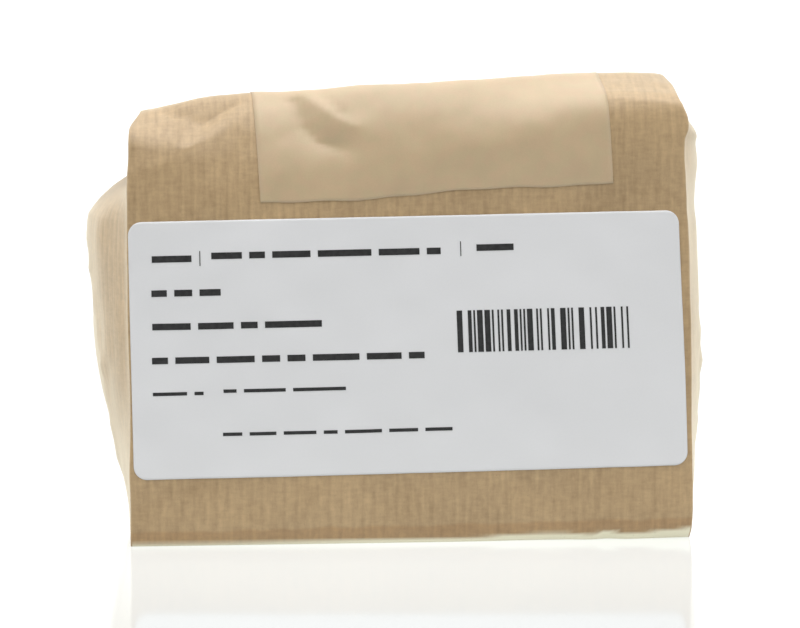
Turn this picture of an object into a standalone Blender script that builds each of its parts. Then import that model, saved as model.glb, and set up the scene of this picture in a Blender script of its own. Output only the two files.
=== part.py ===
"""A filled block-bottom bag of ribbed kraft paper, folded shut and taped, holding cut dried root.

The bag is one tube of paper. Its cross-section is a ring: front panel, side gusset, back panel,
side gusset. Rings at rising levels give the whole bag: base, body, shoulder, the ridge where the
top is folded over backwards, and the pressed mouth flap that lies on the back slope.
Lengths are in millimetres until vertices are made. X is right, Y is back, Z is up.
"""
import itertools
import math
import random

import bmesh
import bpy
from mathutils import Vector

MM = 0.001
OBJECT_NAME = "kraft_paper_bag_of_cut_root"

# Driving dimensions of the bag
BAG_WIDTH = 100.0
BAG_DEPTH = 60.0
HALF_WIDTH = BAG_WIDTH / 2
HALF_DEPTH = BAG_DEPTH / 2
WALL = 0.42
BASE_TUCK = 0.9
BASE_BAND = 2.9
SHOULDER = 57.0
BACK_SHOULDER = 60.0
BACK_ROUNDING = 9.0
FLAP_LENGTH = 28.0
FLAP_THICKNESS = 3.2
FLAP_GAP = 0.4
GUSSET_REACH = 26.0
# Filled panels stand out between their folds, and a bulging gusset bows more the further it reaches
FRONT_SWELL = 0.7
BACK_SWELL = 2.2
GUSSET_BOW = 1.6
FULL_BOW_REACH = 6.0
# Widest that a side fold's two layers and the half pocket in a gusset open
MOST_PITCH = 2.2
MOST_POCKET = 0.4
# Lengths cut off each corner of the front path (band, crease, ridge) and of the back path
FRONT_CUTS = (0.8, 1.6, 2.4)
BACK_CUTS = (0.8, BACK_ROUNDING, 0.02, 0.02)
# The back paper turns into the flap this much further along than the flap is thick
TURN_LEAD = 0.7
# Share of the back slope that lies below level 2
SLOPE_SHARE = 0.45

# Heights of the front crease and of the ridge, and how far the ridge stands back, across the width
CREST_LINE = ((-50, 72.6), (-44, 74.0), (-34, 77.4), (-20, 78.8), (5, 79.6), (30, 79.4), (50, 77.6))
RIDGE_LINE = ((-50, 74.6), (-46, 76.9), (-35, 78.9), (-20, 79.9), (0, 81.0), (20, 82.2), (36, 83.1),
              (44, 82.9), (48, 79.6))
RIDGE_SETBACK = ((-50, 10.0), (-36, 8.0), (-12, 6.0), (14, 8.0), (30, 12.0), (50, 14.0))

# Side folds of the front panel and of the back panel: level, distance from the middle
FRONT_LEFT = ((0, 50.0), (1, 50.0), (2, 49.6), (3, 48.8), (4, 48.8))
FRONT_RIGHT = ((0, 50.0), (0.5, 49.5), (1, 48.9), (1.8, 49.7), (2.4, 49.0), (3, 47.6), (4, 47.6))
# Bulge of each gusset, outwards, and the tuck inwards above the shoulder: level, distance
LEFT_GUSSET = ((0, 0.2), (0.2, 2.6), (0.5, 5.6), (0.8, 7.2), (0.95, 7.8), (1.05, 5.6), (1.2, 0.0),
               (1.6, -12.0), (2.0, -19.0), (2.6, -25.0), (3, -GUSSET_REACH), (4, -GUSSET_REACH))
RIGHT_GUSSET = ((0, 0.2), (0.2, 3.6), (0.5, 5.8), (0.8, 6.0), (1.0, 5.4), (1.3, 4.6), (1.5, 0.0),
                (1.8, -11.0), (2.1, -19.0), (2.6, -25.0), (3, -GUSSET_REACH), (4, -GUSSET_REACH))

# Levels of the rings: 0 base, 1 shoulder, 2 front crease, 3 ridge, 4 mouth
LEVELS = (0.0, 0.051, 0.17, 0.34, 0.52, 0.70, 0.84, 0.93, 1.0, 1.08, 1.18, 1.32, 1.5, 1.7, 1.86, 1.95,
          2.0, 2.06, 2.3, 2.6, 2.82, 2.93, 2.999, 3.001, 3.06, 3.14, 3.4, 3.7, 4.0)
EDGE_STEPS = (0.0, 2.6, 5.6, 14.0, GUSSET_REACH)
MIDDLE_STEPS = (-13.0, 0.0, 13.0)
CORNER_STEPS = 6

# Label and closure tape
SKIN_GAP = 0.3
LABEL_SIZE = (98.2, 45.6)
LABEL_CENTRE = (-0.5, 35.5)
LABEL_TURN = math.radians(0.85)
LABEL_CORNER = 2.4
LABEL_THICKNESS = 0.36
LABEL_ROWS = 5
LABEL_COLUMNS = 12
TAPE_WIDTH = 63.0
TAPE_LENGTH = 75.0
TAPE_FOOT = (5.0, 62.3)
TAPE_TURN = math.radians(3.3)
TAPE_THICKNESS = 0.36
TAPE_COLUMNS = 9
# Stretches of the tape's run and how many rows each has: front, over the crease and ridge, back
TAPE_STRETCHES = ((0.0, 12.0, 3), (12.0, 35.0, 19), (35.0, TAPE_LENGTH, 16))
# The tape leaves the flap on a ramp, past the flap's end, and runs on down the back
RAMP_START = 2.5
RAMP_LENGTH = 6.0
RAMP_CUTS = (1.5, 3.0)
BACK_RUN = 20.0
SLOPE_PROBE = 0.4

# Cut root inside the bag
ROOT_SEED = 11
ROOT_CLEARANCE = 0.6
ROOT_CORE_INSET = 3.4
POCKET_RISE = 13.0
CHIP_SPACING = 14.0
CHIP_LENGTH = (13.0, 19.0)
CHIP_WIDTH = (9.0, 13.0)
CHIP_THICKNESS = (7.0, 10.0)
CHIP_SPARE = 1.2
CHIP_SHIFT = 2.5
CHIP_CORNER_SHARE = (0.7, 1.15)
# The root's highest point, and where its core ends below the ridge: half width, Y and Z
ROOT_TOP = 71.0
CORE_RIDGE_HALF = 20.0
CORE_FRONT_TOP = 70.0
CORE_RIDGE = (-14.0, 70.5)
# The gussets' pockets start this far below the shoulder, and the root keeps clear of them
POCKET_START = SHOULDER - 3.0
POCKET_ROOM = 4.0
FOLD_ROOM = 1.0
# The net of chip places: half spans along X, Y and Z, the middle height, and the top layer
NET_HALF_WIDTH = 43.0
NET_HALF_DEPTH = 15.0
NET_HALF_HEIGHT = 29.0
NET_MIDDLE = 35.0
NET_SIDE = 60.0
TOP_HALF_WIDTH = 30.0
TOP_HALF_DEPTH = 13.0
TOP_HEIGHT = 76.0


def smooth_curve(stations, position):
    """Value at a position on a smooth curve through (position, value) pairs."""
    if position <= stations[0][0]:
        return stations[0][1]
    if position >= stations[-1][0]:
        return stations[-1][1]
    last = len(stations) - 1
    index = next(i for i in range(last) if position <= stations[i + 1][0])
    (x0, y0), (x1, y1) = stations[index], stations[index + 1]
    before = stations[max(index - 1, 0)]
    after = stations[min(index + 2, last)]
    slope_in = (y1 - before[1]) / (x1 - before[0])
    slope_out = (after[1] - y0) / (after[0] - x0)
    span = x1 - x0
    way = (position - x0) / span
    return (y0 * (2 * way ** 3 - 3 * way ** 2 + 1) + slope_in * span * (way ** 3 - 2 * way ** 2 + way)
            + y1 * (3 * way ** 2 - 2 * way ** 3) + slope_out * span * (way ** 3 - way ** 2))


def rounded_path(corners, cuts):
    """A path through corners, each rounded by an arc that starts its cut length before it."""
    points = [corners[0]]
    middles = [0]
    for before, corner, after, cut in zip(corners, corners[1:], corners[2:], cuts):
        start = corner + (before - corner).normalized() * cut
        end = corner + (after - corner).normalized() * cut
        middles.append(len(points) + CORNER_STEPS // 2)
        for step in range(CORNER_STEPS + 1):
            way = step / CORNER_STEPS
            points.append(start.lerp(corner, way).lerp(corner.lerp(end, way), way))
    points.append(corners[-1])
    middles.append(len(points) - 1)
    return points, middles


def distances(points):
    """Distance walked from the start of a path to each of its points."""
    walked = [0.0]
    for here, there in zip(points, points[1:]):
        walked.append(walked[-1] + (there - here).length)
    return walked


def walk(points, walked, distance):
    """The point at a distance along a path, and beyond its end on its last direction."""
    index = 0
    while index < len(points) - 2 and walked[index + 1] < distance:
        index += 1
    span = max(walked[index + 1] - walked[index], 1e-6)
    return points[index] + (points[index + 1] - points[index]) * ((distance - walked[index]) / span)


def top_frame(x):
    """Ridge point, direction down the back slope, and the slope's upward normal, at one width."""
    ridge = Vector((smooth_curve(RIDGE_SETBACK, x) - HALF_DEPTH, smooth_curve(RIDGE_LINE, x)))
    foot = Vector((HALF_DEPTH, BACK_SHOULDER))
    along = (foot - ridge).normalized()
    normal = Vector((-along.y, along.x))
    foot += normal * (FLAP_THICKNESS + FLAP_GAP)
    along = (foot - ridge).normalized()
    return ridge, along, Vector((-along.y, along.x))


def front_corners(x):
    """Corners of the front panel's path: base, band, crease, ridge and mouth."""
    ridge, along, _ = top_frame(x)
    return [Vector((BASE_TUCK - HALF_DEPTH, 0.0)), Vector((-HALF_DEPTH, BASE_BAND)),
            Vector((-HALF_DEPTH, smooth_curve(CREST_LINE, x))), ridge, ridge + along * FLAP_LENGTH]


def back_corners(x):
    """Corners of the back panel's path: base, band, shoulder, hairpin under the ridge and mouth."""
    ridge, along, normal = top_frame(x)
    turn = ridge + along * (FLAP_THICKNESS + TURN_LEAD) - normal * FLAP_THICKNESS
    mouth = ridge + along * FLAP_LENGTH - normal * FLAP_THICKNESS
    return [Vector((HALF_DEPTH - BASE_TUCK, 0.0)), Vector((HALF_DEPTH, BASE_BAND)),
            Vector((HALF_DEPTH, BACK_SHOULDER)), turn - normal * FLAP_GAP, turn, mouth]


def at_level(corners, cuts, keys, level):
    """The point of a rounded path at a level; keys give the distance walked at levels 0 to 4."""
    points, middles = rounded_path(corners, cuts)
    walked = distances(points)
    stops = keys(walked, middles)
    index = min(int(level), len(stops) - 2)
    return walk(points, walked, stops[index] + (stops[index + 1] - stops[index]) * (level - index))


def front_keys(walked, middles):
    """Distances walked up the front path at levels 0 to 4."""
    return [0.0, SHOULDER, walked[middles[2]], walked[middles[3]], walked[-1]]


def back_keys(walked, middles):
    """Distances walked up the back path at levels 0 to 4."""
    slope = walked[middles[3]] - walked[middles[2]]
    return [0.0, SHOULDER, walked[middles[2]] + slope * SLOPE_SHARE, walked[middles[3]] + FLAP_GAP / 2,
            walked[-1]]


def swell(x, height, amount):
    """How far a filled panel stands out between its folds."""
    across = math.cos(math.pi / 2 * min(abs(x) / HALF_WIDTH, 1.0))
    return amount * across * math.sin(math.pi * min(height / BACK_SHOULDER, 1.0))


def front_point(x, level):
    """Front panel, ridge and upper face of the flap."""
    y, z = at_level(front_corners(x), FRONT_CUTS, front_keys, level)
    return Vector((x, y - swell(x, z, FRONT_SWELL), z))


def back_point(x, level):
    """Back panel, back slope and lower face of the flap."""
    y, z = at_level(back_corners(x), BACK_CUTS, back_keys, level)
    return Vector((x, y + swell(x, z, BACK_SWELL), z))


def fold_pitch(gap):
    """Distance between the two paper layers at a side fold, and half the pocket inside a gusset.

    In the flap the four layers share its thickness: 7/16 of it for each fold, 1/16 for the half pocket."""
    half_flap = FLAP_THICKNESS * 7 / 16
    return min(max(7 / 16 * gap, half_flap), MOST_PITCH), min(gap / 16, MOST_POCKET)


def gusset_half(side, level, from_front):
    """Points of half a gusset, from its panel's fold to the gusset's own middle crease."""
    fold = side * smooth_curve(FRONT_LEFT if side < 0 else FRONT_RIGHT, level)
    reach = smooth_curve(LEFT_GUSSET if side < 0 else RIGHT_GUSSET, level)
    bow = GUSSET_BOW * min(max(reach, 0.0) / FULL_BOW_REACH, 1.0)
    points = []
    for step in EDGE_STEPS:
        way = step / GUSSET_REACH
        x = fold + side * (reach * way + bow * math.sin(math.pi * way))
        front, back = front_point(x, level), back_point(x, level)
        gap = (back - front).length
        pitch, pocket = fold_pitch(gap)
        inset = (pitch + (gap / 2 - pocket - pitch) * way) / gap
        points.append(front.lerp(back, inset if from_front else 1 - inset))
    return points


def panel_columns(level):
    """X of each column of a panel at one level, from the left fold to the right fold."""
    left = -smooth_curve(FRONT_LEFT, level)
    right = smooth_curve(FRONT_RIGHT, level)
    return ([left + step for step in EDGE_STEPS] + list(MIDDLE_STEPS)
            + [right - step for step in reversed(EDGE_STEPS)])


def bag_ring(level):
    """All points round the bag at one level, anticlockwise seen from above."""
    columns = panel_columns(level)
    ring = [front_point(x, level) for x in columns]
    ring += gusset_half(1, level, True)
    ring += reversed(gusset_half(1, level, False))
    ring += [back_point(x, level) for x in reversed(columns)]
    ring += gusset_half(-1, level, False)
    ring += reversed(gusset_half(-1, level, True))
    return ring


def paper_point(across, height):
    """Front paper at a distance across it and a height up it, with its outward direction."""
    left = -smooth_curve(FRONT_LEFT, height / SHOULDER)
    right = smooth_curve(FRONT_RIGHT, height / SHOULDER)
    x = left + (right - left) * (across / BAG_WIDTH + 0.5)
    points, _ = cover_path(x)
    here = walk(points, distances(points), height)
    ahead = (walk(points, distances(points), height + SLOPE_PROBE)
             - walk(points, distances(points), height - SLOPE_PROBE))
    outward = Vector((0.0, -ahead.y, ahead.x)).normalized()
    return Vector((x, here.x - swell(x, min(height, BACK_SHOULDER), FRONT_SWELL), here.y)), outward


def cover_path(x):
    """What the tape lies on: front, ridge, flap, a ramp off the flap's end, and the back slope."""
    ridge, along, normal = top_frame(x)
    flap_end = ridge + along * (FLAP_LENGTH + RAMP_START)
    ramp_foot = flap_end + along * RAMP_LENGTH - normal * (FLAP_THICKNESS + FLAP_GAP)
    shoulder = Vector((HALF_DEPTH, BACK_SHOULDER))
    foot = Vector((HALF_DEPTH, SHOULDER - BACK_RUN))
    corners = front_corners(x)[:4] + [flap_end, ramp_foot, shoulder, foot]
    return rounded_path(corners, (*FRONT_CUTS, *RAMP_CUTS, BACK_ROUNDING))


def new_object(name, mesh, material, collection):
    """A named object with one material, in the collection that is handed in."""
    piece = bpy.data.objects.new(name, mesh)
    piece.data.materials.append(material)
    collection.objects.link(piece)
    return piece


def principled(name, colour, roughness):
    """A plain paint-free finish: paper and dried root have no metal in them."""
    material = bpy.data.materials.new(name)
    material.use_nodes = True
    shader = material.node_tree.nodes["Principled BSDF"]
    shader.inputs["Base Color"].default_value = (*colour, 1.0)
    shader.inputs["Roughness"].default_value = roughness
    shader.inputs["Metallic"].default_value = 0.0
    return material


def bridge(bm, lower, upper):
    """Quads between two rings of vertices."""
    count = len(lower)
    for index in range(count):
        after = (index + 1) % count
        bm.faces.new((lower[index], lower[after], upper[after], upper[index]))


def make_bag(collection):
    """The paper: an open tube with a base, given its thickness inwards."""
    bm = bmesh.new()
    rings = [[bm.verts.new(point * MM) for point in bag_ring(level)] for level in LEVELS]
    for lower, upper in zip(rings, rings[1:]):
        bridge(bm, lower, upper)
    bm.faces.new(list(reversed(rings[0])))
    mesh = bpy.data.meshes.new("paper_bag")
    bm.to_mesh(mesh)
    bm.free()
    bag = new_object("paper_bag", mesh, principled("kraft_paper", (0.40, 0.27, 0.15), 0.8), collection)
    shell = bag.modifiers.new("paper thickness", "SOLIDIFY")
    shell.thickness = WALL * MM
    shell.offset = -1.0
    shell.use_even_offset = True
    return bag


def skin_plate(name, grid, thickness, material, collection):
    """A thin closed plate over a grid of (point, outward direction), standing off what it covers."""
    bm = bmesh.new()
    rows, columns = len(grid), len(grid[0])
    under = [[bm.verts.new((p + out * SKIN_GAP) * MM) for p, out in row] for row in grid]
    over = [[bm.verts.new((p + out * (SKIN_GAP + thickness)) * MM) for p, out in row] for row in grid]
    for i in range(rows - 1):
        for j in range(columns - 1):
            bm.faces.new((over[i][j], over[i][j + 1], over[i + 1][j + 1], over[i + 1][j]))
            bm.faces.new((under[i][j], under[i + 1][j], under[i + 1][j + 1], under[i][j + 1]))
    rim = ([(0, j) for j in range(columns)] + [(i, columns - 1) for i in range(1, rows)]
           + [(rows - 1, j) for j in range(columns - 2, -1, -1)] + [(i, 0) for i in range(rows - 2, 0, -1)])
    for (i, j), (k, m) in zip(rim, rim[1:] + rim[:1]):
        bm.faces.new((under[i][j], under[k][m], over[k][m], over[i][j]))
    mesh = bpy.data.meshes.new(name)
    bm.to_mesh(mesh)
    bm.free()
    return new_object(name, mesh, material, collection)


def label_outline(across, up):
    """Point of the label for grid fractions from -1 to 1, with its corners rounded."""
    half_width, half_height = LABEL_SIZE[0] / 2, LABEL_SIZE[1] / 2
    x, y = across * half_width, up * half_height
    edge_x = abs(x) - (half_width - LABEL_CORNER)
    edge_y = abs(y) - (half_height - LABEL_CORNER)
    if edge_x > 0 and edge_y > 0:
        a, b = edge_x / LABEL_CORNER, edge_y / LABEL_CORNER
        x -= math.copysign(edge_x - LABEL_CORNER * a * math.sqrt(1 - b * b / 2), x)
        y -= math.copysign(edge_y - LABEL_CORNER * b * math.sqrt(1 - a * a / 2), y)
    return x, y


def grid_stops(half, corner, inner):
    """Fractions from -1 to 1: a few in each rounded corner and the rest evenly between them."""
    start = 1 - corner / half
    ends = [start + (1 - start) * part for part in (0.0, 0.55, 1.0)]
    middle = [-start + 2 * start * step / inner for step in range(1, inner)]
    return [-end for end in reversed(ends)] + middle + ends


def make_label(collection):
    """The white front label, on the front paper."""
    grid = []
    for up in grid_stops(LABEL_SIZE[1] / 2, LABEL_CORNER, LABEL_ROWS):
        row = []
        for across in grid_stops(LABEL_SIZE[0] / 2, LABEL_CORNER, LABEL_COLUMNS):
            x, y = label_outline(across, up)
            turned = (LABEL_CENTRE[0] + x * math.cos(LABEL_TURN) - y * math.sin(LABEL_TURN),
                      LABEL_CENTRE[1] + x * math.sin(LABEL_TURN) + y * math.cos(LABEL_TURN))
            row.append(paper_point(*turned))
        grid.append(row)
    white = principled("label_paper", (0.86, 0.86, 0.87), 0.5)
    return skin_plate("label", grid, LABEL_THICKNESS, white, collection)


def make_tape(collection):
    """The closure tape, over the ridge and the flap from the front to the back."""
    runs = [start + (end - start) * step / rows
            for start, end, rows in TAPE_STRETCHES for step in range(rows)] + [TAPE_LENGTH]
    grid = []
    for run in runs:
        row = []
        for column in range(TAPE_COLUMNS + 1):
            side = TAPE_WIDTH * (column / TAPE_COLUMNS - 0.5)
            row.append(paper_point(TAPE_FOOT[0] + side * math.cos(TAPE_TURN) - run * math.sin(TAPE_TURN),
                                   TAPE_FOOT[1] + side * math.sin(TAPE_TURN) + run * math.cos(TAPE_TURN)))
        grid.append(row)
    tan = principled("paper_tape", (0.50, 0.38, 0.23), 0.6)
    return skin_plate("closure_tape", grid, TAPE_THICKNESS, tan, collection)


def root_limits(x, z, clearance):
    """Least and greatest Y that the root may reach at a width and height."""
    ridge, along, normal = top_frame(x)
    roof = ridge - normal * (FLAP_THICKNESS + FLAP_GAP + clearance)
    low = Vector((HALF_DEPTH - clearance, BACK_SHOULDER - BACK_ROUNDING - clearance))
    high = Vector((HALF_DEPTH, BACK_SHOULDER)) - along * BACK_ROUNDING - normal * clearance * 1.5
    greatest = low.x
    if z > high.y:
        greatest = roof.x + (z - roof.y) * along.x / along.y
    elif z > low.y:
        greatest = low.x + (high.x - low.x) * (z - low.y) / (high.y - low.y)
    return clearance - HALF_DEPTH, greatest


def root_reach(y, z, clearance):
    """Greatest distance from the middle that the root may reach, short of the gussets' pockets."""
    level = z / SHOULDER if z < POCKET_START else 1 + (z - POCKET_START) / POCKET_RISE
    bulge = smooth_curve(LEFT_GUSSET, level)
    across = 1 - min(abs(y) / HALF_DEPTH, 1.0)
    if z > POCKET_START:
        return HALF_WIDTH - POCKET_ROOM + min(bulge, 0.0) - clearance
    return HALF_WIDTH - FOLD_ROOM + max(bulge - FOLD_ROOM, 0.0) * across - clearance


def fenced(point, spare=0.0):
    """A point of the root pulled back inside the paper, with some room to spare."""
    clearance = WALL + ROOT_CLEARANCE + spare
    z = min(max(point.z, clearance), ROOT_TOP - spare)
    y = min(max(point.y, clearance - HALF_DEPTH), HALF_DEPTH - clearance)
    reach = root_reach(y, z, clearance)
    x = min(max(point.x, -reach), reach)
    least, greatest = root_limits(x, z, clearance)
    return Vector((x, min(max(y, least), greatest), z))


def hull_mesh(name, points):
    """A closed convex mesh round a few points."""
    bm = bmesh.new()
    for point in points:
        bm.verts.new(point * MM)
    hull = bmesh.ops.convex_hull(bm, input=bm.verts[:])
    inside = [part for part in hull["geom_interior"] if isinstance(part, bmesh.types.BMVert)]
    bmesh.ops.delete(bm, geom=inside, context="VERTS")
    mesh = bpy.data.meshes.new(name)
    bm.to_mesh(mesh)
    bm.free()
    return mesh


def root_core():
    """The solid middle of the root: a block with a wedge on top, as the closed bag leaves room for."""
    half_width, half_depth = HALF_WIDTH - ROOT_CORE_INSET, HALF_DEPTH - ROOT_CORE_INSET
    points = []
    for x, y in itertools.product((-1, 1), repeat=2):
        for z in (ROOT_CORE_INSET, POCKET_START):
            points.append(Vector((x * half_width, y * half_depth, z)))
    for x in (-CORE_RIDGE_HALF, CORE_RIDGE_HALF):
        points += [Vector((x, -half_depth, CORE_FRONT_TOP)), Vector((x, *CORE_RIDGE))]
    return hull_mesh("root_core", points)


def spread(half, spacing):
    """Evenly spaced places from -half to half."""
    count = int(2 * half / spacing)
    return [-half + 2 * half * step / count for step in range(count + 1)]


def chip_places():
    """Where the chips sit: a net over the front, back, sides and top of the root."""
    places = []
    for rise in spread(NET_HALF_HEIGHT, CHIP_SPACING):
        z = NET_MIDDLE + rise
        for x in spread(NET_HALF_WIDTH, CHIP_SPACING):
            places += [Vector((x, -HALF_DEPTH, z)), Vector((x, HALF_DEPTH, z))]
        for y in spread(NET_HALF_DEPTH, CHIP_SPACING):
            places += [Vector((-NET_SIDE, y, z)), Vector((NET_SIDE, y, z))]
    for x in spread(TOP_HALF_WIDTH, CHIP_SPACING):
        for y in spread(TOP_HALF_DEPTH, CHIP_SPACING):
            places.append(Vector((x, y, TOP_HEIGHT)))
    return places


def chip_mesh(place):
    """One cut chip: a box with its corners pushed about, turned at random."""
    size = Vector((random.uniform(*CHIP_LENGTH), random.uniform(*CHIP_WIDTH), random.uniform(*CHIP_THICKNESS)))
    spin = Vector([random.uniform(-1, 1) for _ in range(3)])
    turn = spin.normalized().to_track_quat("Z", "Y").to_matrix()
    spare = random.uniform(0.0, CHIP_SPARE)
    centre = fenced(place + Vector([random.uniform(-CHIP_SHIFT, CHIP_SHIFT) for _ in range(3)]), spare)
    points = []
    for corner in itertools.product((-0.5, 0.5), repeat=3):
        loose = Vector([part * length * random.uniform(*CHIP_CORNER_SHARE)
                        for part, length in zip(corner, size)])
        points.append(fenced(centre + turn @ loose, spare))
    return hull_mesh("chip", points)


def keep_largest_body(mesh):
    """Drop the small shells that a union leaves: sealed hollows between chips and loose scraps."""
    bm = bmesh.new()
    bm.from_mesh(mesh)
    waiting = set(bm.verts)
    bodies = []
    while waiting:
        body, edge_of_search = set(), [next(iter(waiting))]
        while edge_of_search:
            vert = edge_of_search.pop()
            if vert not in body:
                body.add(vert)
                edge_of_search += [edge.other_vert(vert) for edge in vert.link_edges]
        bodies.append(body)
        waiting -= body
    largest = max(bodies, key=len)
    bmesh.ops.delete(bm, geom=[vert for vert in bm.verts if vert not in largest], context="VERTS")
    bm.to_mesh(mesh)
    bm.free()


def make_root(collection, cutters):
    """Cut root filling the bag: a core with chips standing out of it, joined in one solid."""
    random.seed(ROOT_SEED)
    for place in chip_places():
        cutters.objects.link(bpy.data.objects.new("chip", chip_mesh(place)))
    brown = principled("dried_root", (0.36, 0.17, 0.08), 0.9)
    root = new_object("cut_root_fill", root_core(), brown, collection)
    join = root.modifiers.new("join chips", "BOOLEAN")
    join.operation = "UNION"
    join.operand_type = "COLLECTION"
    join.collection = cutters
    bpy.context.view_layer.objects.active = root
    bpy.ops.object.modifier_apply(modifier=join.name)
    for chip in list(cutters.objects):
        bpy.data.objects.remove(chip)
    keep_largest_body(root.data)
    return root


def main():
    """Clear the scene and build the four pieces."""
    for old in list(bpy.data.objects):
        bpy.data.objects.remove(old)
    collection = bpy.data.collections.new(OBJECT_NAME)
    cutters = bpy.data.collections.new("cutters")
    bpy.context.scene.collection.children.link(collection)
    bpy.context.scene.collection.children.link(cutters)
    make_bag(collection)
    make_label(collection)
    make_tape(collection)
    make_root(collection, cutters)


main()
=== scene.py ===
"""Looks of a filled, folded and taped kraft paper bag: thin creased paper, label, tape, root.

Every sheet is read from one description of the bag, in millimetres: X right, Y back, Z up, with
the base on the floor. Levels run up the paper: 0 base, 1 shoulder, 2 front crease, 3 ridge, 4 mouth.
"""
import math
import random

import bmesh
import bpy
import numpy as np
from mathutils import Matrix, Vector


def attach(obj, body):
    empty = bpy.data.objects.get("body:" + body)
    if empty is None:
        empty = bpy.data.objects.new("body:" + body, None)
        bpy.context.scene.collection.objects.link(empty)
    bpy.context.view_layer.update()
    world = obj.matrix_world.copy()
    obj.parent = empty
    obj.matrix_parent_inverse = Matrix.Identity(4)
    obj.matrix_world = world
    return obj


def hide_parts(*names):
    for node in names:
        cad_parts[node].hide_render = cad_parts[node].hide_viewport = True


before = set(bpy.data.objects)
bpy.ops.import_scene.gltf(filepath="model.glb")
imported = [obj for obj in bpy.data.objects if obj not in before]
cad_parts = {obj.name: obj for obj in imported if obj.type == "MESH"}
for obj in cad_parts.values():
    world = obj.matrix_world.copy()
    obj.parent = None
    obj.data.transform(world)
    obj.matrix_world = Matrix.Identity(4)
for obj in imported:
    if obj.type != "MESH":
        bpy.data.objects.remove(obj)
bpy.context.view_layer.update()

MM = 0.001

# The bag, as in the solids
HALF_WIDTH, HALF_DEPTH = 50.0, 30.0
BASE_TUCK, BASE_BAND = 0.9, 2.9
SHOULDER, BACK_SHOULDER, BACK_ROUNDING = 57.0, 60.0, 9.0
FLAP_LENGTH, FLAP_THICKNESS, FLAP_GAP = 28.0, 1.9, 0.25
GUSSET_REACH = 26.0

# The paper: thickness, corner radius of the side folds, and the turned-under hem's foot
PAPER_THICKNESS = 0.17
FOLD_RADIUS = 0.35
HEM_STEP, HEM_SLOPE, HEM_CUT = 0.4, 1.1, 0.5
# How far before each bend its rounding starts: the bend above the base, the ridge, the mouth's turns
BAND_CUT, RIDGE_CUT, MOUTH_CUT = 0.8, 2.4, 0.02
ROUNDING_GAP = 0.1
CORNER_STEPS = 14
# Where the back turns in under the flap, and the share of the back slope up to the crease level
TURN_LEAD, SLOPE_SHARE = 0.7, 0.45
# How far the filled panels stand out in the middle, and how far the gussets bow
FRONT_SWELL, BACK_SWELL = 0.7, 2.2
GUSSET_BOW, FULL_BOW_REACH = 1.6, 6.0
# The gusset's layers inside the flap
POCKET, MOST_POCKET, MOST_PITCH = 0.12, 0.3, 1.5
# Underside: how far the outer flap passes the middle, and how far below the front its UV places lie
BASE_FLAP = 8.0
BASE_SHIFT = 200.0
# Where the middles of the right gusset, back and left gusset lie on the flat paper, from the front's
RIGHT_SHIFT, BACK_SHIFT, LEFT_SHIFT = 80.0, 160.0, 240.0

# Lines across the front, as (X, value) pairs
HEM_LINE = ((-50, 0.35), (-30, 0.4), (0, 0.6), (12, 0.75), (20, 1.2), (28, 1.25), (32.0, 0.9), (33.4, 1.3),
            (35.0, 1.65), (36.6, 1.3), (38.4, 1.0), (44, 1.4), (50, 1.9))
BAND_LINE = ((-50, 2.9), (-20, 3.1), (10, 3.2), (24, 3.9), (40, 4.2), (50, 4.6))
BROW_LINE = ((-50, 64.5), (-40, 64.5), (-30, 66.0), (-18, 66.5), (0, 68.0), (20, 70.5), (36, 73.0),
             (50, 73.0))
BROW_SOFTNESS = 7.0
CREST_LINE = ((-50, 73.1), (-46, 72.0), (-42.1, 71.4), (-39.7, 70.5), (-37.2, 71.8), (-33.7, 74.1),
              (-30.2, 76.4), (-26, 76.5), (-19, 76.0), (-8, 75.8), (6, 76.3), (18, 77.3), (27, 78.5),
              (35, 79.0), (47, 78.5), (50, 78.4))
CREST_SETBACK = ((-50, 2.4), (-46, 2.3), (-40, 2.3), (-35, 3.2), (-30, 4.4), (-22, 3.4), (-14, 2.2),
                 (0, 1.5), (16, 1.5), (28, 1.8), (42, 1.8), (50, 1.4))
RIDGE_LINE = ((-50, 75.4), (-48, 76.7), (-45, 77.5), (-35, 79.6), (-20, 80.8), (0, 81.75), (20, 82.8),
              (36, 83.25), (44, 83.1), (48, 82.5))
RIDGE_SETBACK = ((-50, 10.0), (-36, 9.5), (-27, 9.0), (-18, 7.0), (0, 6.0), (14, 7.4), (26, 11.3),
                 (34, 12.5), (50, 14.0))
CREST_SOFTNESS = ((-50, 2.6), (-44, 2.2), (-40.5, 0.8), (-37, 0.9), (-31, 2.6), (-26, 5.0), (-18, 6.0),
                  (-4, 6.0), (10, 6.0), (20, 5.0), (28, 3.6), (34, 2.8), (42, 2.4), (50, 2.2))
# Half widths of the front, and reaches of the gussets beyond it, as (level, value) pairs
FRONT_LEFT = ((0, 50.0), (1, 50.0), (2, 49.6), (2.5, 49.1), (3, 47.7), (4, 47.7))
FRONT_RIGHT = ((0, 50.0), (0.2, 50.2), (0.5, 49.8), (0.8, 49.1), (1, 48.7), (1.34, 48.4), (1.52, 48.1),
               (1.68, 48.1), (1.77, 48.7), (1.87, 48.5), (2.0, 47.3), (2.5, 46.7), (3, 45.9), (4, 45.9))
LEFT_GUSSET = ((0, -0.4), (0.06, 0.0), (0.2, 2.2), (0.5, 5.6), (0.8, 7.2), (0.93, 8.0), (1.0, 7.7),
               (1.1, 6.3), (1.2, 4.6), (1.3, 2.7), (1.42, 0.0), (1.6, -8.0), (2.0, -18.5), (2.6, -25.0),
               (3, -GUSSET_REACH), (4, -GUSSET_REACH))
RIGHT_GUSSET = ((0, 0.2), (0.08, 2.2), (0.2, 3.8), (0.5, 5.0), (0.8, 4.9), (1.0, 4.8), (1.3, 5.1),
                (1.5, 5.5), (1.7, 4.8), (1.84, 3.5), (1.94, 0.5), (2.05, -6.0), (2.18, -15.0), (2.6, -25.0),
                (3, -GUSSET_REACH), (4, -GUSSET_REACH))

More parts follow.
